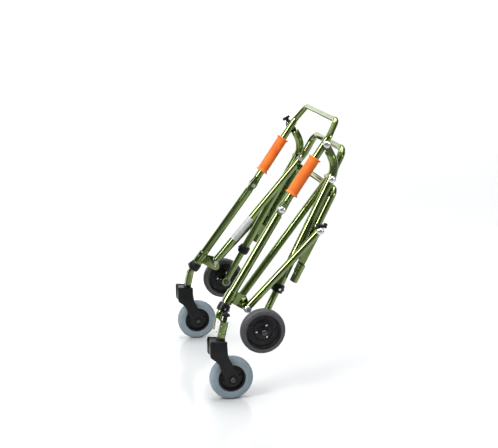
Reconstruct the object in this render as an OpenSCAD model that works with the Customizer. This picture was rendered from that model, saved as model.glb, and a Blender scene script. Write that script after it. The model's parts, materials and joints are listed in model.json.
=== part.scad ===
// Folding posterior walker, shown folded and leaning back over its front casters.
// X points to the walker's rear, Y across it, Z up. The origin is on the floor, midway under it.

/* [Side-view pivots] */
// handle rail to front leg
handle_pivot_at = [12.5, 530.5]; // [x, z in mm]
// handle rail to rear leg
clamp_at = [140, 718.5]; // [x, z in mm]
// rear leg to main frame bar
top_pivot_at = [159, 614.5]; // [x, z in mm]
// main frame bar to front bracket
frame_pivot_at = [-110, 281]; // [x, z in mm]
// lower strut to front bracket
strut_pivot_at = [-104, 259]; // [x, z in mm]
// lower strut to brace lever
knee_pivot_at = [110, 476]; // [x, z in mm]
// brace lever to lower back bar
lever_pivot_at = [70, 397]; // [x, z in mm]

/* [Tubes] */
// leg tube diameter
leg_tube_d = 25.4; // [20:0.1:32]
// leg tube wall
leg_wall = 2.2; // [1.2:0.1:3]
// diameter of the rails, bars and struts
bar_d = 22.2; // [18:0.1:28]
// wall of the rails, bars and struts
bar_wall = 1.6; // [1:0.1:3]
// radial play of every sliding or turning fit
fit = 0.05; // [0.02:0.01:0.1]

/* [Width] */
// centre plane to handle rail
rail_y = 176; // [140:1:220]
// centre plane to rear leg at its top bend
rear_top_y = 177; // [140:1:220]
// centre plane to front leg at its collar
front_low_y = 220; // [180:1:260]
// centre plane to caster
caster_y = 264; // [220:1:320]
// centre plane to rear wheel
rear_wheel_y = 270; // [220:1:320]
// centre plane to main frame bar at its corners
main_corner_y = 143; // [110:1:180]
// centre plane to main frame bar at its lower ends
main_low_y = 188; // [150:1:210]
// centre plane to upper back bar at its corners
upper_corner_y = 150; // [110:1:180]
// centre plane to lower strut
strut_y = 237; // [225:1:260]

/* [Wheels] */
// caster wheel diameter
caster_d = 127; // [100:1:160]
// rear wheel diameter
rear_wheel_d = 132; // [100:1:180]
// width of every tyre
tyre_w = 30; // [20:1:45]
// lean of the caster stem
stem_lean = 12; // [0:1:20]
// distance of the caster wheel behind its stem
caster_trail = 54; // [30:1:70]

/* [Hand grips] */
// grip length
grip_len = 126; // [90:1:140]
// grip body diameter
grip_d = 30; // [26:1:38]
// grip flange diameter
flange_d = 42; // [34:1:50]

/* [Hidden] */
$fn = 48;
leg_r = leg_tube_d / 2;
leg_bore = leg_r - leg_wall;
slide_r = leg_bore - fit;
bar_r = bar_d / 2;
pin_r = 4;
bore_r = pin_r + fit;
axle_r = 5;
cap_r = 10;
tyre_half = tyre_w / 2;
rear_axle_r = 6;
front_hub_r = 40;
rear_hub_r = 54;
elbow_lap = 3;
elbow_sides = 24;
elbow_grow = 1.011;

// frame green, plastic black, grip orange, tyre greys, metal, label white
green = [0.45, 0.58, 0.22];
black = [0.07, 0.07, 0.08];
orange = [0.93, 0.42, 0.10];
blue_grey = [0.42, 0.50, 0.57];
dark_grey = [0.22, 0.22, 0.25];
metal = [0.75, 0.76, 0.76];
white = [0.92, 0.92, 0.90];

function at(p, y) = [p[0], y, p[1]];
function unit(v) = v / norm(v);
function mix(a, b, t) = a + (b - a) * t;
function on_left(p) = [p[0], -p[1], p[2]];

// front leg: a straight line from the handle pivot to the collar and beyond
front_top = at(handle_pivot_at, rail_y);
front_low = [-165, front_low_y, 268];
front_dir = unit(front_low - front_top);
function front_at(s) = front_top + s * front_dir;
front_tube_end = 338;
front_sleeve_s = 293;
front_collar_s = 328;
front_bend_s = 352;

// rear leg: a straight line from its top bend through the top pivot to the wheel
rear_end = [-65.5, 229.5, 199];
rear_top = [178.5, rear_top_y, 650];
rear_dir = unit(rear_end - rear_top);
rear_len = norm(rear_end - rear_top);
function rear_at(s) = rear_top + s * rear_dir;
rear_tube_end = 400;
rear_collar_s = 391;
top_pivot_y = rear_at(norm([rear_top[0], rear_top[2]] - top_pivot_at))[1];

// corners of the main frame bar and the upper back bar, and the slight bend above the top pivot
main_corner = [209.5, main_corner_y, 693];
main_knee = [176, main_corner_y + 7, 629];
upper_corner = [182.4, upper_corner_y, 781];

// handle rail
rail_dir = unit(at(clamp_at, rail_y) - front_top);
function rail_at(s) = front_top + s * rail_dir;
rail_len = norm(clamp_at - handle_pivot_at);
rail_end = rail_len + 14;
grip_from = 52;
clamp_ear_y = rail_y + bar_r + 1.6;

// caster stem and housing
stem_dir = [sin(stem_lean), 0, cos(stem_lean)];
stem_side = [cos(stem_lean), 0, -sin(stem_lean)];
caster_centre = [-157, caster_y, caster_d / 2];
stem_foot = caster_centre - caster_trail * stem_side;
housing_low = 116;
housing_len = 46;
function stem_at(s) = stem_foot + s * stem_dir;
crown_gap = 0.6;

// brace lever: runs past its pivot on the lower back bar to a plugged round end
lever_dir = unit(lever_pivot_at - knee_pivot_at);
lever_inner_y = 219.2;
lever_t = 6;
lever_tube_y = 232;
lever_tube_r = 12;

// placement helpers
module on_side(side) {
    if (side < 0) mirror([0, 1, 0]) children();
    else children();
}

module frame_of(origin, x, y) {
    z = cross(x, y);
    multmatrix([
        [x[0], y[0], z[0], origin[0]],
        [x[1], y[1], z[1], origin[1]],
        [x[2], y[2], z[2], origin[2]],
        [0, 0, 0, 1]]) children();
}

// puts local Z along a direction
module along(origin, dir) {
    side_x = unit(cross(abs(dir[1]) > 0.9 ? [1, 0, 0] : [0, 1, 0], dir));
    frame_of(origin, side_x, cross(dir, side_x)) children();
}

module rod(a, b, r) {
    along(a, unit(b - a)) cylinder(r = r, h = norm(b - a));
}

// a round bar across the walker from y = a to y = b
module cross_rod(p, a, b, r) {
    rod(at(p, a), at(p, b), r);
}

// one rounded corner of a bent tube, a touch thicker than the straight bars that end inside it
module elbow(corner, from, to, bend, r) {
    d1 = unit(corner - from);
    d2 = unit(to - corner);
    turn = acos(d1 * d2);
    inward = unit(d2 - d1 * (d1 * d2));
    normal = cross(d1, inward);
    centre = corner - d1 * bend * tan(turn / 2) + inward * bend;
    steps = ceil(turn / 9);
    ring_r = r * elbow_grow;
    angles = [for (i = [0 : steps]) i * turn / steps];
    rings = concat(
        [elbow_ring(centre - bend * inward - d1 * elbow_lap, inward, normal, ring_r)],
        [for (a = angles) elbow_ring(centre - bend * (inward * cos(a) - d1 * sin(a)),
            inward * cos(a) - d1 * sin(a), normal, ring_r)],
        [elbow_ring(centre - bend * (inward * cos(turn) - d1 * sin(turn)) + d2 * elbow_lap,
            inward * cos(turn) - d1 * sin(turn), normal, ring_r)]);
    last = len(rings) - 1;
    polyhedron(
        points = [for (ring = rings) each ring],
        faces = concat(
            [[for (k = [0 : elbow_sides - 1]) k]],
            [for (i = [0 : last - 1]) for (k = [0 : elbow_sides - 1]) let (
                n = (k + 1) % elbow_sides, low = i * elbow_sides, high = low + elbow_sides)
                each [[low + k, high + n, low + n], [low + k, high + k, high + n]]],
            [[for (k = [elbow_sides - 1 : -1 : 0]) last * elbow_sides + k]]));
}

function elbow_ring(c, u, v, r) =
    [for (k = [0 : elbow_sides - 1]) c + r * (u * cos(360 * k / elbow_sides) + v * sin(360 * k / elbow_sides))];

function trim(corner, from, to, bend) =
    bend * tan(acos(unit(corner - from) * unit(to - corner)) / 2);

// a solid bar through points, with the bend radius of each inner point
module path_bar(points, bends, r) {
    last = len(points) - 1;
    for (i = [0 : last - 1]) {
        a = points[i];
        b = points[i + 1];
        cut_a = i == 0 ? 0 : trim(a, points[i - 1], b, bends[i - 1]);
        cut_b = i == last - 1 ? 0 : trim(b, a, points[i + 2], bends[i]);
        rod(a + unit(b - a) * cut_a, b - unit(b - a) * cut_b, r);
    }
    for (i = [1 : last - 1]) elbow(points[i], points[i - 1], points[i + 1], bends[i - 1], r);
}

// the same bar as a hollow tube
module path_tube(points, bends, r, wall) {
    difference() {
        path_bar(points, bends, r);
        path_bar(points, bends, r - wall);
    }
}

// a domed cap facing outboard, its flat face at y
module dome_cap(p, y, r) {
    along(at(p, y), [0, 1, 0]) rotate_extrude()
        polygon(concat([[0, 0], [r, 0], [r, 2.5]],
            [for (a = [15 : 15 : 75]) [r * cos(a), 2.5 + 5.5 * sin(a)]], [[0, 8]]));
}

module nut(p, y) {
    along(at(p, y), [0, 1, 0]) cylinder(r = 7, h = 5.5, $fn = 6);
}

// a flat plate in the side plane, its outline the children, between two y values
module side_plate(y_from, y_to) {
    translate([0, y_to, 0]) rotate([90, 0, 0]) linear_extrude(y_to - y_from) children();
}

module spot(p, r) {
    translate(p) circle(r = r);
}

// ---- root: main frame bar ----
module main_frame_bar() {
    foot = at(frame_pivot_at, main_low_y);
    low = foot + 8 * unit(main_knee - foot);
    pivot_y = mix(foot, main_knee, (top_pivot_at[1] - foot[2]) / (main_knee[2] - foot[2]))[1];
    color(green) difference() {
        union() {
            path_tube([on_left(low), on_left(main_knee), on_left(main_corner), main_corner, main_knee, low],
                [60, 32, 32, 60], bar_r, bar_wall);
            for (side = [-1, 1]) on_side(side) {
                cross_rod(frame_pivot_at, main_low_y - 11, main_low_y + 13, bar_r);
                cross_rod(top_pivot_at, pivot_y - 10.5, pivot_y + 11.5, 7);
            }
        }
        rod(main_corner - [0, main_corner_y, 20], main_corner - [0, main_corner_y, 0], 2);
        for (side = [-1, 1]) on_side(side) {
            cross_rod(frame_pivot_at, main_low_y - 20, main_low_y + 20, bore_r);
            cross_rod(top_pivot_at, pivot_y - 20, pivot_y + 20, bore_r);
        }
    }
}

module frame_label() {
    foot = at(frame_pivot_at, main_low_y);
    a = mix(foot, main_knee, 0.21);
    b = mix(foot, main_knee, 0.41);
    color(white) difference() {
        rod(a, b, bar_r + 0.6);
        rod(a - 5 * unit(b - a), b + 5 * unit(b - a), bar_r + 0.02);
    }
}

// ---- front legs ----
module front_leg_tube(side) {
    color(green) on_side(side) difference() {
        union() {
            difference() {
                rod(front_at(18), front_at(front_tube_end), leg_r);
                rod(front_at(60), front_at(front_tube_end + 5), leg_bore);
            }
            side_plate(rail_y - 4, rail_y + 4) hull() {
                spot(handle_pivot_at, 11);
                spot([front_at(34)[0], front_at(34)[2]], 9);
            }
        }
        cross_rod(handle_pivot_at, rail_y - 12, rail_y + 12, bore_r);
        button_hole(front_at(front_collar_s));
    }
}

// opening for a push button, on the outboard side only
module button_hole(centre) {
    rod(centre, centre + [0, 40, 0], 3.6);
}

module front_bracket(side) {
    inner_y = main_low_y + 14;
    sleeve = front_at(front_sleeve_s);
    color(green) on_side(side) difference() {
        union() {
            rod(front_at(front_sleeve_s - 18), front_at(front_sleeve_s + 18), leg_r + 3.5);
            side_plate(inner_y, inner_y + 14) hull() {
                spot([sleeve[0] + 2, sleeve[2]], 15);
                spot(frame_pivot_at, 12);
                spot(strut_pivot_at, 12);
            }
            cross_rod(strut_pivot_at, inner_y + 10, strut_y - bar_r - 0.6, 10);
        }
        rod(front_at(front_sleeve_s - 50), front_at(front_sleeve_s + 50), leg_r + 0.02);
        cross_rod(frame_pivot_at, inner_y - 1, inner_y + 20, bore_r);
        cross_rod(strut_pivot_at, inner_y - 1, strut_y, bore_r);
    }
}

module frame_pivot(side) {
    inboard = main_low_y - 12;
    color(metal) on_side(side) {
        cross_rod(frame_pivot_at, inboard - 3, main_low_y + 26, pin_r);
        nut(frame_pivot_at, inboard - 5.5);
    }
}

module front_collar(side) {
    color(black) on_side(side) leg_collar(front_at(front_collar_s), front_dir, 13);
}

// a clamp collar on the end of a leg tube, with a thumb pad
module leg_collar(centre, dir, half) {
    difference() {
        union() {
            rod(centre - half * dir, centre + half * dir, leg_r + 4);
            rod(centre - (half - 5) * dir, centre + (half - 5) * dir, leg_r + 5.5);
        }
        rod(centre - (half + 5) * dir, centre + (half + 5) * dir, leg_r + 0.02);
        button_hole(centre);
    }
}

module front_button(side) {
    color(metal) on_side(side) push_button(front_at(front_collar_s));
}

// a sprung button through a collar and its tube, clear of the sliding leg
module push_button(centre) {
    rod(centre + [0, slide_r + 3.2, 0], centre + [0, leg_r + 9, 0], 3.5);
}

module front_extension(side) {
    bend = front_at(front_bend_s);
    foot = bend - 44 * stem_dir;
    housing_mid = stem_at(housing_low + housing_len / 2);
    color(green) on_side(side) difference() {
        union() {
            difference() {
                path_bar([front_at(250), bend, foot], [24], slide_r);
                rod(front_at(240), front_at(330), slide_r - 2);
            }
            rod(stem_at(housing_low), stem_at(housing_low + housing_len), 12);
            hull() {
                rod(foot + 3 * stem_dir, foot + 23 * stem_dir, 8);
                rod(housing_mid - 10 * stem_dir, housing_mid + 10 * stem_dir, 8);
            }
        }
        rod(stem_at(housing_low - 5), stem_at(housing_low + 30), axle_r + fit);
        rod(stem_at(housing_low + 32), stem_at(housing_low + housing_len + 5), pin_r + fit);
    }
}

module swivel_lock(side) {
    top = housing_low + housing_len;
    color(black) on_side(side) {
        rod(stem_at(top - 8), stem_at(top + 8), pin_r);
        rod(stem_at(top + 4.5), stem_at(top + 12), 6.5);
        rod(stem_at(top + 11.5), stem_at(top + 26), 9);
    }
}

// ---- casters and front wheels ----
// fork side view: a broad crown with a flat top, and an arm curving back to the axle
fork_points = [[-63, 121], [-16, 115.5], [-16, 78], [-12, 68], [-5, 50], [5, 34], [15, 18], [18.5, 5],
    [-12, -15], [-20, -5], [-28, 14], [-34, 31], [-38.5, 49], [-44, 60.5], [-52.5, 70], [-61, 78.5],
    [-65, 91], [-66, 117]];
module fork_outline() {
    translate([caster_centre[0], caster_centre[2]]) {
        polygon(fork_points);
        circle(r = 19);
    }
}

module caster_fork(side) {
    gap = tyre_half + 3;
    wall = 6;
    color(black) on_side(side) difference() {
        union() {
            for (s = [-1, 1]) {
                y = caster_y + s * (gap + wall / 2);
                side_plate(y - wall / 2, y + wall / 2) fork_outline();
            }
            side_plate(caster_y - gap - 1, caster_y + gap + 1) difference() {
                fork_outline();
                spot([caster_centre[0], caster_centre[2]], caster_d / 2 + 6);
            }
            rod(stem_at(98), stem_at(housing_low - crown_gap), 12.5);
            rod(stem_at(98), stem_at(housing_low + 26), axle_r);
        }
        cross_rod([caster_centre[0], caster_centre[2]], caster_y - 40, caster_y + 40, axle_r + fit);
    }
}

module wheel_tyre(centre, wheel_d, hub_r) {
    r = wheel_d / 2;
    along(centre, [0, 1, 0]) rotate_extrude() polygon([
        [hub_r, -tyre_half + 3], [hub_r + 3, -tyre_half], [r - 9, -tyre_half], [r - 2.5, -tyre_half + 5],
        [r, -tyre_half + 11], [r, tyre_half - 11], [r - 2.5, tyre_half - 5], [r - 9, tyre_half],
        [hub_r + 3, tyre_half], [hub_r, tyre_half - 3]]);
}

module wheel_hub(centre, hub_r, boss_half, inner_r) {
    along(centre, [0, 1, 0]) difference() {
        rotate_extrude() polygon([
            [0, -boss_half], [11, -boss_half], [13, -6], [hub_r - 7, -5], [hub_r - 5, -tyre_half + 3.5],
            [hub_r - 0.02, -tyre_half + 3.5], [hub_r - 0.02, tyre_half - 3.5], [hub_r - 5, tyre_half - 3.5],
            [hub_r - 7, 5], [13, 6], [11, boss_half], [0, boss_half]]);
        translate([0, 0, -30]) cylinder(r = inner_r, h = 60);
    }
}

module front_hub(side) {
    color(black) on_side(side) wheel_hub(caster_centre, front_hub_r, tyre_half + 2.4, axle_r + fit);
}

module front_tyre(side) {
    color(blue_grey) on_side(side) wheel_tyre(caster_centre, caster_d, front_hub_r);
}

module front_axle(side) {
    centre = [caster_centre[0], caster_centre[2]];
    outer = tyre_half + 9.1;
    color(metal) on_side(side) {
        cross_rod(centre, caster_y - outer - 1, caster_y + outer + 1, axle_r);
        nut(centre, caster_y - outer - 5.5);
        dome_cap(centre, caster_y + outer, 8);
    }
}

// ---- handle frame ----
module handle_rail(side) {
    foot = rail_at(24);
    color(green) on_side(side) difference() {
        union() {
            difference() {
                rod(rail_at(20), rail_at(rail_end), bar_r);
                rod(rail_at(150), rail_at(rail_end + 5), bar_r - bar_wall);
            }
            for (y = [rail_y - 10, rail_y + 4.4])
                side_plate(y, y + 5.6) hull() {
                    spot(handle_pivot_at, 11.5);
                    spot([foot[0], foot[2]], 9);
                }
        }
        cross_rod(handle_pivot_at, rail_y - 20, rail_y + 20, bore_r);
    }
}

module handle_pivot(side) {
    color(metal) on_side(side) {
        cross_rod(handle_pivot_at, rail_y - 12, rail_y + 12, pin_r);
        nut(handle_pivot_at, rail_y - 15.5);
        dome_cap(handle_pivot_at, rail_y + 10, cap_r);
    }
}

module hand_grip(side) {
    r = grip_d / 2;
    f = flange_d / 2;
    ring = 9.5;
    rings = 10;
    color(orange) on_side(side) along(rail_at(grip_from), rail_dir) rotate_extrude() polygon(concat(
        [[bar_r + 0.02, 0], [f - 1.5, 0], [f, 1.5], [f, 3.5], [f - 1.5, 5], [r + 1, 6.5]],
        [for (i = [0 : rings - 1]) each [[r, 12 + i * ring], [r + 0.9, 12 + (i + 0.5) * ring]]],
        [[r, 108], [r + 1, grip_len - 6.5], [f - 1.5, grip_len - 5], [f, grip_len - 3.5],
        [f, grip_len - 1.5], [f - 1.5, grip_len], [bar_r + 0.02, grip_len]]));
}

module upper_back_bar() {
    inner = rail_at(178);
    bend = rail_at(rail_end + 10);
    plug_r = bar_r - bar_wall - fit;
    color(green) path_tube([
        on_left(inner), on_left(bend), on_left(upper_corner), upper_corner, bend, inner],
        [18, 22, 22, 18], plug_r, 1.8);
}

module clamp_knob(side) {
    y = clamp_ear_y + 5;
    color(metal) on_side(side) {
        cross_rod(clamp_at, clamp_ear_y + 0.3, y + 4, pin_r);
        along(at(clamp_at, y + 0.1), [0, 1, 0]) rotate_extrude() polygon([
            [0, 0], [8, 0], [cap_r, 2], [cap_r, 8], [8.5, 10.5], [5, 12], [0, 12.4]]);
    }
}

// ---- rear frame ----
module rear_leg_tube(side) {
    head = [151, rear_top_y, 698.8];
    ear_root = [155, 691];
    color(green) on_side(side) difference() {
        union() {
            difference() {
                path_bar([head, rear_top, rear_at(rear_tube_end)], [70], leg_r);
                rod(rear_at(90), rear_at(rear_tube_end + 5), leg_bore);
            }
            cross_rod(top_pivot_at, top_pivot_y - 14.5, top_pivot_y + 14, 10);
            cross_rod(ear_root, rear_top_y, clamp_ear_y + 2, 7.5);
            side_plate(clamp_ear_y, clamp_ear_y + 5) hull() {
                spot(clamp_at, 10.5);
                spot(ear_root, 9);
            }
        }
        cross_rod(top_pivot_at, top_pivot_y - 30, top_pivot_y + 30, bore_r);
        cross_rod(clamp_at, clamp_ear_y - 1, clamp_ear_y + 6, bore_r);
        button_hole(rear_at(rear_collar_s));
    }
}

module top_pivot(side) {
    inboard = main_corner_y - 5.5;
    color(metal) on_side(side) {
        cross_rod(top_pivot_at, inboard - 2, top_pivot_y + 16, pin_r);
        nut(top_pivot_at, inboard - 5.5);
        dome_cap(top_pivot_at, top_pivot_y + 14, cap_r);
    }
}

module lower_back_bar() {
    foot = at(lever_pivot_at, 206);
    corner = [171, 184, 584];
    low = foot + 14 * unit(foot - corner);
    upper_tie = mix(corner, foot, 0.16);
    lower_tie = mix(corner, foot, 0.86);
    color(green) difference() {
        union() {
            path_tube([on_left(low), on_left(corner), corner, low], [26, 26], bar_r, bar_wall);
            for (side = [-1, 1]) on_side(side) {
                cross_rod(lever_pivot_at, 196, lever_inner_y - 0.7, 7);
                for (tie = [upper_tie, lower_tie])
                    side_plate(tie[1] - 4, tie[1] + 4) hull() {
                        spot([tie[0] - 3, tie[2]], 9);
                        spot([tie[0] - 24, tie[2] + 10], 9);
                    }
            }
        }
        for (side = [-1, 1]) on_side(side) {
            rod(rear_at(0), rear_at(rear_tube_end), leg_r + 0.02);
            cross_rod(lever_pivot_at, 180, 230, bore_r);
        }
    }
}

module rear_collar(side) {
    color(black) on_side(side) leg_collar(rear_at(rear_collar_s), rear_dir, 13);
}

module rear_button(side) {
    color(metal) on_side(side) push_button(rear_at(rear_collar_s));
}

module rear_extension(side) {
    hub = [rear_end[0], rear_end[2]];
    color(green) on_side(side) difference() {
        union() {
            difference() {
                rod(rear_at(300), rear_at(rear_len), slide_r);
                rod(rear_at(290), rear_at(rear_len - 22), slide_r - 2);
            }
            cross_rod(hub, rear_end[1] - 11, rear_wheel_y - tyre_half - 3, 14);
        }
        cross_rod(hub, rear_end[1] - 20, rear_wheel_y, rear_axle_r + fit);
    }
}

module rear_hub(side) {
    color(black) on_side(side) wheel_hub([rear_end[0], rear_wheel_y, rear_end[2]], rear_hub_r,
        tyre_half + 2.2, rear_axle_r + fit);
}

module rear_tyre(side) {
    color(dark_grey) on_side(side)
        wheel_tyre([rear_end[0], rear_wheel_y, rear_end[2]], rear_wheel_d, rear_hub_r);
}

module rear_axle(side) {
    hub = [rear_end[0], rear_end[2]];
    outer = rear_wheel_y + tyre_half + 3;
    color(metal) on_side(side) {
        cross_rod(hub, rear_end[1] - 13, outer + 1, rear_axle_r);
        dome_cap(hub, outer, 9);
        along([hub[0], rear_end[1] - 16.5, hub[1]], [0, 1, 0]) cylinder(r = 9, h = 5.5, $fn = 6);
    }
}

// ---- lower struts and brace levers ----
module lower_strut(side) {
    color(green) on_side(side) difference() {
        union() {
            difference() {
                rod(at(strut_pivot_at, strut_y), at(knee_pivot_at, strut_y), bar_r);
                rod(mix(at(strut_pivot_at, strut_y), at(knee_pivot_at, strut_y), 0.08),
                    mix(at(strut_pivot_at, strut_y), at(knee_pivot_at, strut_y), 0.92), bar_r - bar_wall);
            }
            for (p = [strut_pivot_at, knee_pivot_at]) cross_rod(p, strut_y - bar_r, strut_y + bar_r, bar_r);
        }
        for (p = [strut_pivot_at, knee_pivot_at]) cross_rod(p, strut_y - 20, strut_y + 20, bore_r);
    }
}

module strut_pivot(side) {
    color(metal) on_side(side) {
        cross_rod(strut_pivot_at, main_low_y + 18, strut_y + bar_r + 2, pin_r);
        along(at(strut_pivot_at, strut_y + bar_r + 0.4), [0, 1, 0])
            rotate_extrude() polygon([[0, 0], [cap_r, 0], [cap_r, 1.4], [8.5, 3], [0, 3]]);
    }
}

module knee_pivot(side) {
    color(metal) on_side(side) {
        cross_rod(knee_pivot_at, strut_y - bar_r, strut_y + bar_r + 3, pin_r);
        dome_cap(knee_pivot_at, strut_y + bar_r, cap_r);
    }
}

module brace_lever(side) {
    tube_from = lever_pivot_at + 22 * lever_dir;
    tube_to = lever_pivot_at + 77 * lever_dir;
    color(green) on_side(side) {
        side_plate(lever_inner_y, lever_inner_y + lever_t) hull() {
            spot(knee_pivot_at, 12);
            spot(lever_pivot_at, 11);
        }
        side_plate(lever_inner_y, lever_inner_y + lever_t) hull() {
            spot(lever_pivot_at, 11);
            spot(lever_pivot_at + 44 * lever_dir, 10);
        }
        rod(at(tube_from, lever_tube_y), at(tube_to, lever_tube_y), lever_tube_r);
        cross_rod(lever_pivot_at, 200, lever_inner_y + 2, pin_r);
    }
}

main_frame_bar();
frame_label();
upper_back_bar();
lower_back_bar();
front_leg_tube(-1);  // left_front_leg_tube
front_leg_tube(1);  // right_front_leg_tube
front_bracket(-1);  // left_front_bracket
front_bracket(1);  // right_front_bracket
frame_pivot(-1);  // left_frame_pivot
frame_pivot(1);  // right_frame_pivot
front_collar(-1);  // left_front_collar
front_collar(1);  // right_front_collar
front_button(-1);  // left_front_button
front_button(1);  // right_front_button
front_extension(-1);  // left_front_extension
front_extension(1);  // right_front_extension
swivel_lock(-1);  // left_swivel_lock
swivel_lock(1);  // right_swivel_lock
caster_fork(-1);  // left_caster_fork
caster_fork(1);  // right_caster_fork
front_hub(-1);  // left_front_hub
front_hub(1);  // right_front_hub
front_tyre(-1);  // left_front_tyre
front_tyre(1);  // right_front_tyre
front_axle(-1);  // left_front_axle
front_axle(1);  // right_front_axle
handle_rail(-1);  // left_handle_rail
handle_rail(1);  // right_handle_rail
handle_pivot(-1);  // left_handle_pivot
handle_pivot(1);  // right_handle_pivot
hand_grip(-1);  // left_hand_grip
hand_grip(1);  // right_hand_grip
clamp_knob(-1);  // left_clamp_knob
clamp_knob(1);  // right_clamp_knob
rear_leg_tube(-1);  // left_rear_leg_tube
rear_leg_tube(1);  // right_rear_leg_tube
top_pivot(-1);  // left_top_pivot
top_pivot(1);  // right_top_pivot
rear_collar(-1);  // left_rear_collar
rear_collar(1);  // right_rear_collar
rear_button(-1);  // left_rear_button
rear_button(1);  // right_rear_button
rear_extension(-1);  // left_rear_extension
rear_extension(1);  // right_rear_extension
rear_hub(-1);  // left_rear_hub
rear_hub(1);  // right_rear_hub
rear_tyre(-1);  // left_rear_tyre
rear_tyre(1);  // right_rear_tyre
rear_axle(-1);  // left_rear_axle
rear_axle(1);  // right_rear_axle
lower_strut(-1);  // left_lower_strut
lower_strut(1);  // right_lower_strut
strut_pivot(-1);  // left_strut_pivot
strut_pivot(1);  // right_strut_pivot
knee_pivot(-1);  // left_knee_pivot
knee_pivot(1);  // right_knee_pivot
brace_lever(-1);  // left_brace_lever
brace_lever(1);  // right_brace_lever
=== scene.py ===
"""Looks for the folding posterior walker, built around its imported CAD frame."""
import json
import math

import bmesh
import bpy
from mathutils import Matrix, Vector


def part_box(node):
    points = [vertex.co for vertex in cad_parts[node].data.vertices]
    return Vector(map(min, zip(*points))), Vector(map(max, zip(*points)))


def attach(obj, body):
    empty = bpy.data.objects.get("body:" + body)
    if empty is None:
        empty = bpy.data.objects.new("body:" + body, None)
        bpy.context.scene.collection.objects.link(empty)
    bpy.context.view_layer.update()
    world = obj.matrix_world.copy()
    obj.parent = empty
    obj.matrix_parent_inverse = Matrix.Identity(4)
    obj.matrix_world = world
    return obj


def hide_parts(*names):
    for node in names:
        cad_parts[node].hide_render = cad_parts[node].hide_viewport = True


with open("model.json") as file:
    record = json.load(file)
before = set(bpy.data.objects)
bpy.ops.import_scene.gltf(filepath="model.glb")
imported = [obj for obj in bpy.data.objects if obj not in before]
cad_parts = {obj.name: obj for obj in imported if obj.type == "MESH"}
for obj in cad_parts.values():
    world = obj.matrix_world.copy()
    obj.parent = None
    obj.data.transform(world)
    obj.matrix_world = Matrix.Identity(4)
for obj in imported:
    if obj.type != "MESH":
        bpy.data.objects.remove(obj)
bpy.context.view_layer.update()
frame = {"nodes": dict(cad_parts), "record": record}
NODES = frame["nodes"]
SIDES = ("left", "right")

# ---- camera ----
IMAGE_WIDTH = 498
SENSOR_MM = 36.0
FOCAL_PX = 1100
CAMERA_AT = (-0.7985, -3.164, 1.262)
CAMERA_PITCH = math.radians(14.06)
CAMERA_YAW = math.radians(13.46)

camera_data = bpy.data.cameras.new("camera")
camera_data.sensor_width = SENSOR_MM
camera_data.lens = FOCAL_PX / IMAGE_WIDTH * SENSOR_MM
camera = bpy.data.objects.new("camera", camera_data)
camera.location = CAMERA_AT
camera.rotation_euler = (math.pi / 2 - CAMERA_PITCH, 0, -CAMERA_YAW)
bpy.context.scene.collection.objects.link(camera)
bpy.context.scene.camera = camera


# ---- materials ----
def new_material(name, **inputs):
    """A Principled material with fixed values set on the shader's own sockets."""
    mat = bpy.data.materials.new(name)
    mat.use_nodes = True
    shader = mat.node_tree.nodes["Principled BSDF"]
    for key, value in inputs.items():
        shader.inputs[key.replace("_", " ")].default_value = value
    return mat, mat.node_tree, shader


def link(tree, a, b):
    """Joins an output socket to an input socket."""
    tree.links.new(a, b)


def coords(tree, scale=(1, 1, 1)):
    """The piece's own coordinates in metres, scaled."""
    tc = tree.nodes.new("ShaderNodeTexCoord")
    mp = tree.nodes.new("ShaderNodeMapping")
    mp.inputs["Scale"].default_value = scale
    link(tree, tc.outputs["Object"], mp.inputs["Vector"])
    return mp.outputs["Vector"]


def noise(tree, vector, scale, detail, rough=0.5):
    """A noise value round 0.5."""
    n = tree.nodes.new("ShaderNodeTexNoise")
    n.inputs["Scale"].default_value = scale
    n.inputs["Detail"].default_value = detail
    n.inputs["Roughness"].default_value = rough
    link(tree, vector, n.inputs["Vector"])
    return n.outputs["Fac"]


def ramp(tree, value, stops):
    """A colour ramp: stops are (position, (r, g, b))."""
    r = tree.nodes.new("ShaderNodeValToRGB")
    el = r.color_ramp.elements
    while len(el) < len(stops):
        el.new(0.5)
    for e, (pos, col) in zip(el, stops):
        e.position = pos
        e.color = (*col, 1)
    link(tree, value, r.inputs["Fac"])
    return r.outputs["Color"]


def spread(tree, value, low, high):
    """Maps 0..1 to low..high."""
    m = tree.nodes.new("ShaderNodeMapRange")
    m.inputs["To Min"].default_value = low
    m.inputs["To Max"].default_value = high
    link(tree, value, m.inputs["Value"])
    return m.outputs["Result"]


def bump(tree, shader, height, distance, strength):
    """Fine relief on a shader: distance in metres for a height of 1."""
    b = tree.nodes.new("ShaderNodeBump")
    b.inputs["Distance"].default_value = distance
    b.inputs["Strength"].default_value = strength
    link(tree, height, b.inputs["Height"])
    link(tree, b.outputs["Normal"], shader.inputs["Normal"])


def surface(name, tint, gloss, grain=None, stretch=(1, 1, 1), **inputs):
    """A Principled material whose colour, roughness and relief vary a little.

    tint is (noise scale, detail, noise roughness, colour stops), gloss is (noise scale, detail, lowest and
    highest roughness), grain is (noise scale, detail, height in metres, strength).
    """
    mat, tree, shader = new_material(name, **inputs)
    v = coords(tree, stretch)
    tint_scale, tint_detail, tint_rough, stops = tint
    tinted = noise(tree, v, tint_scale, tint_detail, tint_rough)
    link(tree, ramp(tree, tinted, stops), shader.inputs["Base Color"])
    gloss_scale, gloss_detail, smoothest, roughest = gloss
    glossed = noise(tree, v, gloss_scale, gloss_detail)
    link(tree, spread(tree, glossed, smoothest, roughest), shader.inputs["Roughness"])
    if grain:
        grain_scale, grain_detail, height, strength = grain
        bump(tree, shader, noise(tree, v, grain_scale, grain_detail), height, strength)
    return mat


BRUSHED = (1, 6, 1)


def tyre_rubber(name, low, high):
    """Dull rubber between two shades."""
    return surface(name, (22.0, 5.0, 0.6, [(0.3, low), (0.72, high)]), (150.0, 3.0, 0.5, 0.7),
                   (900.0, 3.0, 0.0001, 0.6), Specular_IOR_Level=0.35)


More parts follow.
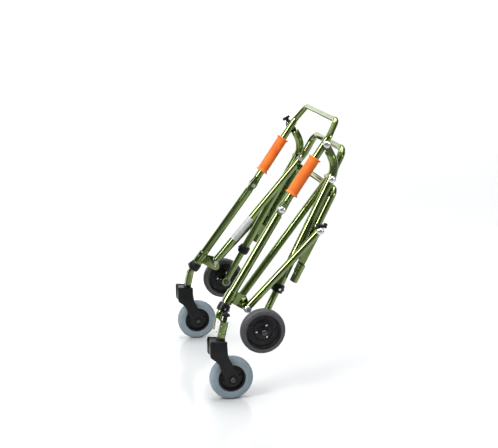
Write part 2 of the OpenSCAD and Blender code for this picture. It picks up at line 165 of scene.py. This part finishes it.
MATERIALS = {
    "frame_green": surface(
        "frame_green", (14.0, 4.0, 0.5, [(0.30, (0.138, 0.192, 0.053)), (0.70, (0.195, 0.260, 0.083))]),
        (60.0, 4.0, 0.09, 0.17), (900.0, 2.0, 0.00002, 0.5),
        Metallic=1.0, Coat_Weight=0.65, Coat_Roughness=0.03),
    "black_plastic": surface(
        "black_plastic", (40.0, 4.0, 0.5, [(0.3, (0.0025, 0.0025, 0.003)), (0.75, (0.0065, 0.0065, 0.007))]),
        (180.0, 3.0, 0.26, 0.40), (1500.0, 2.0, 0.00008, 0.7), Specular_IOR_Level=0.26),
    "grip_orange": surface(
        "grip_orange", (30.0, 5.0, 0.5, [(0.25, (0.66, 0.120, 0.008)), (0.75, (0.80, 0.175, 0.014))]),
        (220.0, 3.0, 0.50, 0.68), (1100.0, 3.0, 0.0001, 0.6), Specular_IOR_Level=0.35),
    "front_tyre_grey": tyre_rubber("front_tyre_grey", (0.165, 0.210, 0.240), (0.245, 0.298, 0.330)),
    "rear_tyre_grey": tyre_rubber("rear_tyre_grey", (0.034, 0.034, 0.038), (0.070, 0.070, 0.076)),
    "bright_metal": surface(
        "bright_metal", (120.0, 3.0, 0.5, [(0.3, (0.62, 0.63, 0.64)), (0.7, (0.80, 0.81, 0.82))]),
        (260.0, 3.0, 0.12, 0.28), (700.0, 2.0, 0.00002, 0.5), BRUSHED, Metallic=1.0),
    "dark_metal": surface(
        "dark_metal", (110.0, 3.0, 0.5, [(0.3, (0.050, 0.050, 0.054)), (0.7, (0.095, 0.095, 0.100))]),
        (240.0, 3.0, 0.24, 0.40), (600.0, 2.0, 0.00002, 0.5), BRUSHED, Metallic=1.0),
    "label_white": surface(
        "label_white", (35.0, 3.0, 0.5, [(0.3, (0.36, 0.365, 0.37)), (0.7, (0.47, 0.475, 0.48))]),
        (300.0, 2.0, 0.3, 0.45), (500.0, 2.0, 0.00005, 0.5), Coat_Weight=0.3, Coat_Roughness=0.2),
}

for part in frame["record"]["subparts"]:
    node = NODES[part["node"]]
    node.data.materials.clear()
    node.data.materials.append(MATERIALS[part["material_slot"]])

# ---- piece making ----
MM = 0.001
AXIS_Y = Vector((0, 1, 0))
SHARP_DEGREES = 32
BEVEL_PROFILE = 0.5


def point(x, y, z, side="right"):
    """A place given in millimetres on the right side, mirrored for the left."""
    return Vector((x, -y if side == "left" else y, z)) * MM


def direction(x, y, z, side="right"):
    """A unit direction given on the right side, mirrored for the left."""
    return Vector((x, -y if side == "left" else y, z)).normalized()


def piece(name, bm, slot, body, stands_for=(), sharp=SHARP_DEGREES):
    """Turns a bmesh into a named piece that rides on a body."""
    bmesh.ops.recalc_face_normals(bm, faces=bm.faces)
    for face in bm.faces:
        face.smooth = True
    mesh = bpy.data.meshes.new(name)
    bm.to_mesh(mesh)
    bm.free()
    mesh.set_sharp_from_angle(angle=math.radians(sharp))
    obj = bpy.data.objects.new(name, mesh)
    obj.data.materials.append(MATERIALS[slot])
    bpy.context.scene.collection.objects.link(obj)
    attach(obj, body)
    if stands_for:
        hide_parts(*stands_for)
    return obj


def basis(axis):
    """Two directions square to an axis."""
    axis = axis.normalized()
    helper = Vector((1, 0, 0)) if abs(axis.x) < 0.9 else Vector((0, 0, 1))
    u = helper.cross(axis).normalized()
    return u, axis.cross(u)


def lathe(bm, origin, axis, profile, sides=64, wave=None, closed=True):
    """Turns (distance along, radius) points, in millimetres, round an axis.

    wave(angle, along) scales the radius. closed joins the last point to the first.
    """
    axis = axis.normalized()
    u, v = basis(axis)
    rings = []
    for along, radius in profile:
        if radius < 1e-6:
            rings.append([bm.verts.new(origin + axis * along * MM)])
            continue
        ring = []
        for k in range(sides):
            a = 2 * math.pi * k / sides
            r = radius * (wave(a, along) if wave else 1.0) * MM
            out = u * math.cos(a) + v * math.sin(a)
            ring.append(bm.verts.new(origin + axis * along * MM + out * r))
        rings.append(ring)
    pairs = list(zip(rings, rings[1:]))
    if closed:
        pairs.append((rings[-1], rings[0]))
    for low, high in pairs:
        if len(low) == 1 and len(high) == 1:
            continue
        for k in range(sides):
            n = (k + 1) % sides
            if len(low) == 1:
                bm.faces.new((low[0], high[k], high[n]))
            elif len(high) == 1:
                bm.faces.new((low[k], high[0], low[n]))
            else:
                bm.faces.new((low[k], high[k], high[n], low[n]))
    return bm


def in_order(things):
    """Each thing once, in the order given, where the order of a set may vary between runs."""
    return list(dict.fromkeys(things))


def block(bm, centre, x_dir, y_dir, size, bevel=1.0, segments=3):
    """A rounded block: size in millimetres along x_dir, y_dir and the direction square to both."""
    x_dir, y_dir = x_dir.normalized(), y_dir.normalized()
    z_dir = x_dir.cross(y_dir).normalized()
    y_dir = z_dir.cross(x_dir)
    made = bmesh.ops.create_cube(bm, size=1.0)
    turn = Matrix((x_dir, y_dir, z_dir)).transposed().to_4x4()
    scale = Matrix.Diagonal((size[0] * MM, size[1] * MM, size[2] * MM, 1))
    bmesh.ops.transform(bm, matrix=Matrix.Translation(centre) @ turn @ scale, verts=made["verts"])
    edges = in_order(e for v in made["verts"] for e in v.link_edges)
    bmesh.ops.bevel(bm, geom=edges, offset=bevel * MM, segments=segments,
                    profile=BEVEL_PROFILE, affect="EDGES")
    return bm


def side_plate(bm, outline, y_from, y_to, side, bevel=1.2, segments=3):
    """A plate in the side plane from an (x, z) outline in millimetres, with rounded edges."""
    low = [bm.verts.new(point(x, y_from, z, side)) for x, z in outline]
    high = [bm.verts.new(point(x, y_to, z, side)) for x, z in outline]
    count = len(outline)
    faces = [bm.faces.new(low), bm.faces.new(high[::-1])]
    for k in range(count):
        n = (k + 1) % count
        faces.append(bm.faces.new((low[k], high[k], high[n], low[n])))
    edges = in_order(e for f in faces[:2] for e in f.edges)
    bmesh.ops.bevel(bm, geom=edges, offset=bevel * MM, segments=segments,
                    profile=BEVEL_PROFILE, affect="EDGES", clamp_overlap=True)
    return bm


def drill(obj, start, axis, radius, depth):
    """Cuts a round hole into a piece, from a point outward."""
    bore = [(0, 0), (0, radius), (depth, radius), (depth, 0)]
    bm = lathe(bmesh.new(), start, axis, bore, 40, closed=False)
    bmesh.ops.recalc_face_normals(bm, faces=bm.faces)
    mesh = bpy.data.meshes.new("drill")
    bm.to_mesh(mesh)
    bm.free()
    bit = bpy.data.objects.new("drill", mesh)
    bpy.context.scene.collection.objects.link(bit)
    cut = obj.modifiers.new("hole", "BOOLEAN")
    cut.operation = "DIFFERENCE"
    cut.solver = "EXACT"
    cut.object = bit
    bpy.context.view_layer.update()
    done = bpy.data.meshes.new_from_object(obj.evaluated_get(bpy.context.evaluated_depsgraph_get()))
    obj.modifiers.clear()
    old, obj.data = obj.data, done
    bpy.data.meshes.remove(old)
    bpy.data.objects.remove(bit)
    bpy.data.meshes.remove(mesh)


WELD_SUNK = 0.2
WELD_RIPPLES = 18
WELD_RIPPLE_DEPTH = 0.16


def weld(bm, centre, axis, radius, bead, sides=72, steps=8):
    """A rippled weld bead round a bar: radius and bead size in millimetres."""
    axis = axis.normalized()
    u, v = basis(axis)
    rings = []
    for k in range(sides):
        a = 2 * math.pi * k / sides
        out = u * math.cos(a) + v * math.sin(a)
        size = bead * (1 + WELD_RIPPLE_DEPTH * math.cos(a * WELD_RIPPLES))
        mid = centre + out * (radius - WELD_SUNK) * MM
        rings.append([bm.verts.new(mid + (out * math.cos(b) + axis * math.sin(b)) * size * MM)
                      for b in [2 * math.pi * j / steps for j in range(steps)]])
    for k in range(sides):
        a, b = rings[k], rings[(k + 1) % sides]
        for j in range(steps):
            n = (j + 1) % steps
            bm.faces.new((a[j], b[j], b[n], a[n]))
    return bm


def middle(node):
    """The middle of a CAD part's box."""
    low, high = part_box(node)
    return (low + high) / 2


# ---- places on the right side, in millimetres, as the CAD has them: pivots are (x, z) ----
HANDLE_PIVOT = (12.5, 530.5)
CLAMP = (140.0, 718.5)
TOP_PIVOT = (159.0, 614.5)
STRUT_PIVOT = (-104.0, 259.0)
KNEE_PIVOT = (110.0, 476.0)
LEVER_PIVOT = (70.0, 397.0)
RAIL_Y = 176.0
REAR_LEG_Y = 181.0
LEVER_Y = 232.0
STRUT_Y = 237.0
STRUT_WELD_Y = 217.4
TOP_WELD_Y = 193.8
CLAMP_WELD = (155, 188.3, 691)
CLAMP_HEAD_Y = 200.2
FRONT_TOP = Vector((12.5, 176.0, 530.5))
FRONT_DIR = (Vector((-165.0, 220.0, 268.0)) - FRONT_TOP).normalized()
REAR_TOP = Vector((178.5, 177.0, 650.0))
REAR_DIR = (Vector((-65.5, 229.5, 199.0)) - REAR_TOP).normalized()
RAIL_DIR = Vector((127.5, 0.0, 188.0)).normalized()
REAR_HEAD = Vector((151.0, 177.0, 698.8))
STEM_LEAN = math.radians(12)
STEM_DIR = Vector((math.sin(STEM_LEAN), 0, math.cos(STEM_LEAN)))
STEM_SIDE = Vector((math.cos(STEM_LEAN), 0, -math.sin(STEM_LEAN)))
CASTER = Vector((-157.0, 264.0, 63.5))
CASTER_TRAIL = 54
STEM_FOOT = CASTER - CASTER_TRAIL * STEM_SIDE
# distances along the bars, in millimetres
FRONT_COLLAR_AT = 328
REAR_COLLAR_AT = 391
BRACKET_ENDS_AT = (274.6, 311.4)
RAIL_WELD_AT = 34
FRONT_BEND_AT = 352
GRIP_AT = 52
GRIP_LENGTH = 126
LEVER_ENDS_AT = (22, 77)
HOUSING_AT = 139
HOUSING_ENDS_AT = (127, 149)
SWIVEL_KNOB_AT = 162
# the caster fork, seen from the side, in millimetres from the wheel's centre
FORK_GAP = 18
FORK_HALF = 24
FORK = [(-63, 121), (-16, 115.5), (-16, 78), (-12, 68), (-5, 50), (5, 34), (15, 18), (18.5, 5),
        (18, -6), (13, -14), (5, -18.3), (-4, -18.6), (-12, -15), (-20, -5), (-28, 14), (-34, 31),
        (-38, 44), (-42.5, 54.5), (-49, 62), (-58, 66.5), (-63.5, 70.5), (-65.5, 77), (-66, 117)]
FORK_CROWN = [(-61, 119), (-18, 113.8), (-18, 84), (-34, 75), (-46, 68), (-56, 69.5), (-61.5, 74),
              (-63.8, 82)]
FORK_RIB = [(-52, 108), (-52, 92), (-46, 74), (-33, 57), (-24, 38), (-14, 20), (-7, 10)]


def on(side, v):
    """A place on the right side as a place on the side asked for."""
    return point(v.x, v.y, v.z, side)


def way(side, v):
    """A direction on the right side as a direction on the side asked for."""
    return direction(v.x, v.y, v.z, side)


def outward(side):
    """Away from the walker's middle plane."""
    return way(side, AXIS_Y)


def mirrored(flank, shared=0):
    """A closed lathe profile from one flank; the last shared points lie on the middle plane."""
    return [(-s, q) for s, q in flank] + flank[::-1][shared:]


def spoke(k, count, turn):
    """The direction of the kth of some spokes round a wheel, the first at turn degrees."""
    a = math.radians(360 / count * k + turn)
    return Vector((math.cos(a), 0, math.sin(a)))


# ---- wheels ----
FRONT_BORE = 40
REAR_BORE = 54


def tyre(side, which, slot, bore):
    """A soft tyre with flank steps and a seam round the tread."""
    node = f"{side}_{which}_tyre"
    low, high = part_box(node)
    r = (high.z - low.z) / 2 / MM
    half = (high.y - low.y) / 2 / MM
    flank = [(12.0, bore + 0.1), (14.1, bore + 0.8), (half, bore + 3.0), (half, r - 14.2),
             (half - 0.7, r - 13.4), (half - 0.7, r - 12.4), (half, r - 11.6), (half - 0.1, r - 8.5),
             (half - 0.9, r - 5.4), (half - 2.5, r - 2.9), (half - 5.0, r - 1.2), (7.0, r - 0.35),
             (6.7, r - 1.0), (6.0, r - 1.0), (5.7, r - 0.25), (2.0, r - 0.02), (0.0, r)]
    bm = lathe(bmesh.new(), middle(node), AXIS_Y, mirrored(flank, 1), 112)
    piece(f"{side}_{which}_tyre_moulded", bm, slot, f"{side}_{which}_wheel", [node], 40)


def front_hub(side):
    """A spoked hub: a boss, a thin web with six ribs, and a rim that carries the tyre."""
    node = f"{side}_front_hub"
    centre = middle(node)
    flank = [(17.2, 5.2), (17.2, 10.5), (16.4, 11.4), (9.0, 12.6), (6.6, 14.5), (5.6, 17.0), (5.0, 30.5),
             (5.4, 32.0), (10.6, 33.6), (11.9, 35.0), (12.2, 38.6), (11.6, 39.9)]
    bm = lathe(bmesh.new(), centre, AXIS_Y, mirrored(flank), 80)
    ribs = 6
    for k in range(ribs):
        out = spoke(k, ribs, 15)
        block(bm, centre + out * 23 * MM, out, AXIS_Y, (22, 17, 3.4), 1.1)
    piece(f"{side}_front_hub_ribbed", bm, "black_plastic", f"{side}_front_wheel", [node])


def rear_hub(side):
    """A stepped hub with five ribs, and three bolt ends on each face."""
    node = f"{side}_rear_hub"
    centre = middle(node)
    flank = [(17.0, 6.2), (17.0, 11.0), (16.2, 12.0), (8.6, 13.4), (7.4, 16.0), (7.4, 25.5), (8.8, 26.6),
             (8.8, 28.6), (7.0, 29.8), (5.6, 33.0), (5.2, 43.0), (6.0, 45.0), (10.2, 47.0), (11.7, 48.6),
             (12.3, 51.5), (12.0, 53.4), (11.4, 53.9)]
    bm = lathe(bmesh.new(), centre, AXIS_Y, mirrored(flank), 96)
    ribs = 5
    for k in range(ribs):
        out = spoke(k, ribs, 8)
        block(bm, centre + out * 37 * MM, out, AXIS_Y, (18, 14.5, 5.0), 1.6)
    piece(f"{side}_rear_hub_ribbed", bm, "black_plastic", f"{side}_rear_wheel", [node])
    bm = bmesh.new()
    bolts = 3
    bolt = [(6.5, 0), (6.5, 3.2), (9.4, 3.2), (10.2, 2.3), (9.7, 1.2), (9.7, 0)]
    for k in range(bolts):
        spot = centre + spoke(k, bolts, 62) * 20 * MM
        for face in (-1, 1):
            lathe(bm, spot, AXIS_Y * face, bolt, 20, closed=False)
    piece(f"{side}_rear_hub_bolts", bm, "bright_metal", f"{side}_rear_wheel")


def fork(side):
    """The caster fork: two rounded arms with a raised rib, a crown, a stem boss and the axle's bosses."""
    def seen(outline):
        return [(CASTER.x + x, CASTER.z + z) for x, z in outline]

    bm = bmesh.new()
    for y_from, y_to in ((-FORK_HALF, -FORK_GAP), (FORK_GAP, FORK_HALF)):
        side_plate(bm, seen(FORK), CASTER.y + y_from, CASTER.y + y_to, side, 2.0, 4)
    side_plate(bm, seen(FORK_CROWN), CASTER.y - 20, CASTER.y + 20, side, 2.2, 3)
    stem_boss = [(98, 0), (98, 12.5), (111.6, 12.5), (113.6, 11.6), (115.4, 11.2), (115.4, 5), (142, 5),
                 (142, 0)]
    lathe(bm, on(side, STEM_FOOT), way(side, STEM_DIR), stem_boss, 48, closed=False)
    axle_boss = [(22, 5.1), (22, 13.5), (23.2, 14.6), (25.2, 13.8), (25.6, 12.4), (24.1, 11.4), (24.1, 5.1)]
    for face in (-1, 1):
        lathe(bm, on(side, CASTER), AXIS_Y * face, axle_boss, 48)
    rib = seen(FORK_RIB)
    rib_y = FORK_HALF + 0.1
    for a, b in zip(rib, rib[1:]):
        for y in (CASTER.y - rib_y, CASTER.y + rib_y):
            start = point(a[0], y, a[1], side)
            end = point(b[0], y, b[1], side)
            run = end - start
            block(bm, (start + end) / 2, run, AXIS_Y, (run.length / MM + 2.4, 1.8, 2.6), 0.8, 2)
    piece(f"{side}_caster_fork_moulded", bm, "black_plastic", f"{side}_caster", [f"{side}_caster_fork"])


def swivel_knob(side):
    """The swivel lock's knob: a collar, a neck and a cross grip."""
    axis = way(side, STEM_DIR)
    base = on(side, STEM_FOOT)
    top = SWIVEL_KNOB_AT
    profile = [(-8, 0), (-8, 4), (4.5, 4), (4.5, 6.3), (5.2, 6.6), (10.6, 6.6), (11.5, 5.4), (14.0, 5.2),
               (15.0, 7.5), (16.2, 8.6), (23.5, 8.6), (25.4, 7.4), (26, 5.5), (26, 0)]
    fluted_from, fluted_to = top + 15.5, top + 24

    def flutes(a, s):
        return 1 + (0.05 * math.cos(8 * a) if fluted_from < s < fluted_to else 0)

    bm = lathe(bmesh.new(), base, axis, [(top + s, q) for s, q in profile], 48, flutes, closed=False)
    block(bm, base + axis * (top + 20.4) * MM, way(side, STEM_SIDE), AXIS_Y, (24, 9, 8), 2.6, 4)
    piece(f"{side}_swivel_lock_knob", bm, "black_plastic", f"{side}_swivel_lock", [f"{side}_swivel_lock"])


# ---- grips ----
def grip(side):
    """A ribbed grip with a rounded flange at each end."""
    flange = [(0.6, 11.2), (0.0, 12.0), (0.0, 18.4), (0.6, 19.5), (1.8, 19.9), (3.0, 19.4), (3.9, 18.2),
              (4.8, 17.2), (7.4, 16.7)]
    profile = list(flange)
    ribs = 22
    first_rib = 11
    ribbed = GRIP_LENGTH - 25
    for k in range(ribs):
        at = first_rib + k * ribbed / ribs
        profile += [(at, 15.7), (at + 0.7, 16.5), (at + 2.7, 16.6), (at + 3.4, 16.5), (at + 4.0, 15.7)]
    profile += [(GRIP_LENGTH - s, q) for s, q in flange[::-1]]
    bm = lathe(bmesh.new(), on(side, FRONT_TOP + GRIP_AT * RAIL_DIR), way(side, RAIL_DIR), profile, 72)
    piece(f"{side}_hand_grip_ribbed", bm, "grip_orange", "handle_frame", [f"{side}_hand_grip"], 50)


for side in SIDES:
    tyre(side, "front", "front_tyre_grey", FRONT_BORE)
    tyre(side, "rear", "rear_tyre_grey", REAR_BORE)
    front_hub(side)
    rear_hub(side)
    fork(side)
    swivel_knob(side)
    grip(side)


# ---- collars, screws, plugs, plates and welds ----
BUTTON_HOLE_R = 3.8


def collar(side, which, centre, axis):
    """A clamp collar: a ridged ring with a hole for the push button, two lugs and their screw."""
    out = outward(side)
    axis = axis.normalized()
    across = axis.cross(out).normalized()
    flank = [(13, 12.75), (13, 16.0), (12.2, 16.8), (9.0, 16.8), (8.2, 18.0), (5.6, 18.2), (5.2, 17.5),
             (3.6, 17.5), (3.2, 18.2)]
    bm = lathe(bmesh.new(), centre, axis, mirrored(flank), 64)
    for s in (-1, 1):
        block(bm, centre - across * 17.0 * MM + out * 3.0 * s * MM, across, axis, (6.0, 13, 3.8), 1.2)
    body = "front_legs" if which == "front" else "rear_frame"
    made = piece(f"{side}_{which}_collar_moulded", bm, "black_plastic", body, [f"{side}_{which}_collar"])
    drill(made, centre, out, BUTTON_HOLE_R, 30)
    screw = [(-6.6, 0), (-6.6, 2.2), (-4.8, 2.6), (-4.8, 1.4), (4.8, 1.4), (4.8, 2.6), (6.2, 2.5), (6.9, 1.7),
             (6.9, 0)]
    bm = lathe(bmesh.new(), centre - across * 17.6 * MM, out, screw, 24, closed=False)
    piece(f"{side}_{which}_collar_screw", bm, "dark_metal", body)


def washer(side, name, body, place, y, r):
    """A thin flat washer under a pivot's head: place is (x, z), y is where its face lies."""
    profile = [(-0.1, 4.2), (-0.1, r - 0.4), (0.3, r), (0.9, r), (1.3, r - 0.4), (1.3, 4.2)]
    bm = lathe(bmesh.new(), point(place[0], y, place[1], side), outward(side), profile, 40)
    piece(f"{side}_{name}_washers", bm, "bright_metal", body)


def welds(side):
    """The beads where brackets, pivots and housings are welded to the tubes."""
    out = outward(side)
    bm = bmesh.new()
    for s in BRACKET_ENDS_AT:
        weld(bm, on(side, FRONT_TOP + s * FRONT_DIR), way(side, FRONT_DIR), 14.4, 1.5)
    weld(bm, point(STRUT_PIVOT[0], STRUT_WELD_Y, STRUT_PIVOT[1], side), out, 10.0, 1.5)
    piece(f"{side}_front_bracket_welds", bm, "frame_green", "front_legs")
    bm = weld(bmesh.new(), on(side, FRONT_TOP + RAIL_WELD_AT * RAIL_DIR), way(side, RAIL_DIR), 11.3, 1.2)
    piece(f"{side}_handle_rail_welds", bm, "frame_green", "handle_frame")
    bm = weld(bmesh.new(), point(TOP_PIVOT[0], TOP_WELD_Y, TOP_PIVOT[1], side), out, 10.0, 1.2)
    weld(bm, point(*CLAMP_WELD, side), out, 7.5, 1.3)
    piece(f"{side}_rear_leg_welds", bm, "frame_green", "rear_frame")
    bm = bmesh.new()
    for s in HOUSING_ENDS_AT:
        weld(bm, on(side, STEM_FOOT + s * STEM_DIR), way(side, STEM_DIR), 12.1, 1.1)
    piece(f"{side}_caster_housing_welds", bm, "frame_green", f"{side}_front_extension")


def lever_plugs(side):
    """Rounded plastic plugs in the ends of the brace lever's tube."""
    base = Vector((LEVER_PIVOT[0], LEVER_Y, LEVER_PIVOT[1]))
    knee = Vector((KNEE_PIVOT[0], LEVER_Y, KNEE_PIVOT[1]))
    lever = (base - knee).normalized()
    plug = [(-1.0, 0), (-1.0, 10.2), (0.1, 10.6), (1.0, 10.0), (1.5, 8.4), (1.7, 5.5), (1.8, 0)]
    bm = bmesh.new()
    for s, sign in zip(LEVER_ENDS_AT, (-1, 1)):
        lathe(bm, on(side, base + s * lever), way(side, lever) * sign, plug, 40, closed=False)
    piece(f"{side}_brace_lever_plugs", bm, "black_plastic", "brace_levers")


def leg_plug(side):
    """The rounded cap that closes the upper end of the rear leg."""
    up = (REAR_HEAD - REAR_TOP).normalized()
    cap = [(-1.0, 0), (-1.0, 11.6), (0.0, 12.0), (0.9, 11.3), (1.3, 9.0), (1.4, 0)]
    bm = lathe(bmesh.new(), on(side, REAR_HEAD), way(side, up), cap, 48, closed=False)
    piece(f"{side}_rear_leg_plug", bm, "frame_green", "rear_frame")


def knee_catch(side):
    """The dark catch that sits on the strut's end, just above its knee pivot."""
    x, z = KNEE_PIVOT
    flat = Vector((1, 0, -0.18))
    bm = block(bmesh.new(), point(x + 5.5, STRUT_Y, z + 14.0, side), flat, AXIS_Y, (30, 17, 9), 2.6, 4)
    block(bm, point(x + 17.5, STRUT_Y, z + 16.5, side), flat, AXIS_Y, (9, 13, 10), 2.4, 4)
    piece(f"{side}_knee_catch", bm, "black_plastic", "lower_struts")


def housing_plate(side):
    """The bright plate on the front of the web between the leg's foot and the caster housing."""
    foot = FRONT_TOP + FRONT_BEND_AT * FRONT_DIR - 31 * STEM_DIR
    housing = STEM_FOOT + HOUSING_AT * STEM_DIR
    across = (housing - foot).normalized()
    face = STEM_DIR.cross(across).normalized()
    if face.x > 0:
        face = -face
    centre = (foot + housing) / 2 + 8.6 * face
    bm = block(bmesh.new(), on(side, centre), way(side, STEM_DIR), way(side, across), (44, 30, 1.8), 0.8, 2)
    rivet = [(0.4, 0), (0.4, 3.4), (1.6, 3.2), (2.4, 1.8), (2.6, 0)]
    for s in (-15, 15):
        lathe(bm, on(side, centre + s * STEM_DIR), way(side, face), rivet, 24, closed=False)
    piece(f"{side}_caster_housing_plate", bm, "bright_metal", f"{side}_front_extension")


def clamp_grip(side):
    """A dark T-shaped lever on the clamp's head."""
    centre = point(CLAMP[0], CLAMP_HEAD_Y, CLAMP[1], side)
    out = outward(side)
    back = Vector((-0.50, 0, 0.87)).normalized()
    cross = Vector((-0.87, 0, -0.50)).normalized()
    ring = [(-4.0, 10.1), (-4.0, 11.6), (-3.2, 12.4), (2.2, 12.4), (3.0, 11.6), (3.0, 10.1)]
    bm = lathe(bmesh.new(), centre, out, ring, 48)
    block(bm, centre + back * 15 * MM, back, out, (14, 7, 11), 2.4, 4)
    block(bm, centre + back * 22.5 * MM, cross, out, (25, 8.5, 8.5), 3.0, 4)
    piece(f"{side}_clamp_cam", bm, "black_plastic", f"{side}_clamp_knob")


for side in SIDES:
    collar(side, "front", on(side, FRONT_TOP + FRONT_COLLAR_AT * FRONT_DIR), way(side, FRONT_DIR))
    collar(side, "rear", on(side, REAR_TOP + REAR_COLLAR_AT * REAR_DIR), way(side, REAR_DIR))
    washer(side, "handle", "handle_frame", HANDLE_PIVOT, RAIL_Y + 9.6, 10.8)
    washer(side, "top", "rear_frame", TOP_PIVOT, REAR_LEG_Y + 14.2, 10.9)
    washer(side, "knee", "lower_struts", KNEE_PIVOT, STRUT_Y + 10.8, 10.9)
    washer(side, "strut", "front_legs", STRUT_PIVOT, STRUT_Y + 11.2, 10.8)
    welds(side)
    lever_plugs(side)
    leg_plug(side)
    knee_catch(side)
    housing_plate(side)
clamp_grip("right")


# ---- floor, world and lights ----
def pale_floor():
    """A pale floor with a soft gloss."""
    stops = [(0.3, (0.47, 0.48, 0.487)), (0.7, (0.50, 0.507, 0.513))]
    return surface("floor_pale", (0.8, 2.0, 0.5, stops), (3.0, 2.0, 0.13, 0.17))


BACKDROP_GLOW = 1.05


def white_backdrop():
    """A white that gives off its own light, so the ground behind the object reads as pure white."""
    mat, tree, shader = new_material("backdrop_white", Emission_Strength=BACKDROP_GLOW)
    v = coords(tree)
    white = ramp(tree, noise(tree, v, 0.5, 2.0), [(0.3, (0.97, 0.98, 0.98)), (0.7, (1.0, 1.0, 1.0))])
    link(tree, white, shader.inputs["Base Color"])
    link(tree, white, shader.inputs["Emission Color"])
    return mat


def sheet_mesh(name, profile, half, material):
    """A wide sheet swept along X from a (y, z) profile."""
    bm = bmesh.new()
    rows = [[bm.verts.new((x, y, z)) for x in (-half, half)] for y, z in profile]
    for low, high in zip(rows, rows[1:]):
        bm.faces.new((low[0], low[1], high[1], high[0])).smooth = True
    mesh = bpy.data.meshes.new(name)
    bm.to_mesh(mesh)
    bm.free()
    sheet = bpy.data.objects.new(name, mesh)
    sheet.data.materials.append(material)
    bpy.context.scene.collection.objects.link(sheet)


FLOOR_FRONT, FLOOR_BACK = -9.0, 5.0
STAGE_HALF = 14.0
COVE_RADIUS = 3.0
BACKDROP_TOP = 8.0
cove = [(FLOOR_BACK + COVE_RADIUS * math.sin(math.radians(d)), COVE_RADIUS * (1 - math.cos(math.radians(d))))
        for d in range(9, 91, 9)]
sheet_mesh("floor", [(FLOOR_FRONT, 0.0), (FLOOR_BACK, 0.0)], STAGE_HALF, pale_floor())
sheet_mesh("backdrop", [(FLOOR_BACK, 0.0), *cove, (FLOOR_BACK + COVE_RADIUS, BACKDROP_TOP)], STAGE_HALF,
           white_backdrop())


def area_light(name, at, target, size, power):
    """A rectangular light aimed at a point: size in metres, power in watts."""
    data = bpy.data.lights.new(name, "AREA")
    data.shape = "RECTANGLE"
    data.size, data.size_y = size
    data.energy = power
    light = bpy.data.objects.new(name, data)
    light.location = at
    light.rotation_euler = (Vector(target) - Vector(at)).to_track_quat("-Z", "Y").to_euler()
    bpy.context.scene.collection.objects.link(light)


area_light("key", (-2.2, -1.2, 2.2), (0, 0, 0.4), (0.85, 1.7), 84)
area_light("top", (0.2, 0.2, 3.2), (0, 0, 0.3), (2.6, 2.0), 112)
area_light("fill", (2.4, -2.4, 1.5), (0, 0, 0.4), (0.35, 1.6), 22)


WORLD_STRENGTH = 0.9


def studio_world():
    """A dim room that brightens overhead, so bent tubes show dark sides and bright tops."""
    world = bpy.data.worlds.new("studio")
    world.use_nodes = True
    tree = world.node_tree
    tc = tree.nodes.new("ShaderNodeTexCoord")
    axes = tree.nodes.new("ShaderNodeSeparateXYZ")
    link(tree, tc.outputs["Generated"], axes.inputs["Vector"])
    sky = ramp(tree, axes.outputs["Z"], [
        (0.0, (0.30, 0.31, 0.32)), (0.10, (0.22, 0.23, 0.24)), (0.30, (0.06, 0.065, 0.07)),
        (0.48, (0.10, 0.105, 0.11)), (0.60, (0.75, 0.76, 0.78)), (1.0, (1.0, 1.0, 1.0))])
    link(tree, sky, tree.nodes["Background"].inputs["Color"])
    tree.nodes["Background"].inputs["Strength"].default_value = WORLD_STRENGTH
    bpy.context.scene.world = world


studio_world()
bpy.context.scene.view_settings.view_transform = "Standard"

bpy.context.view_layer.update()
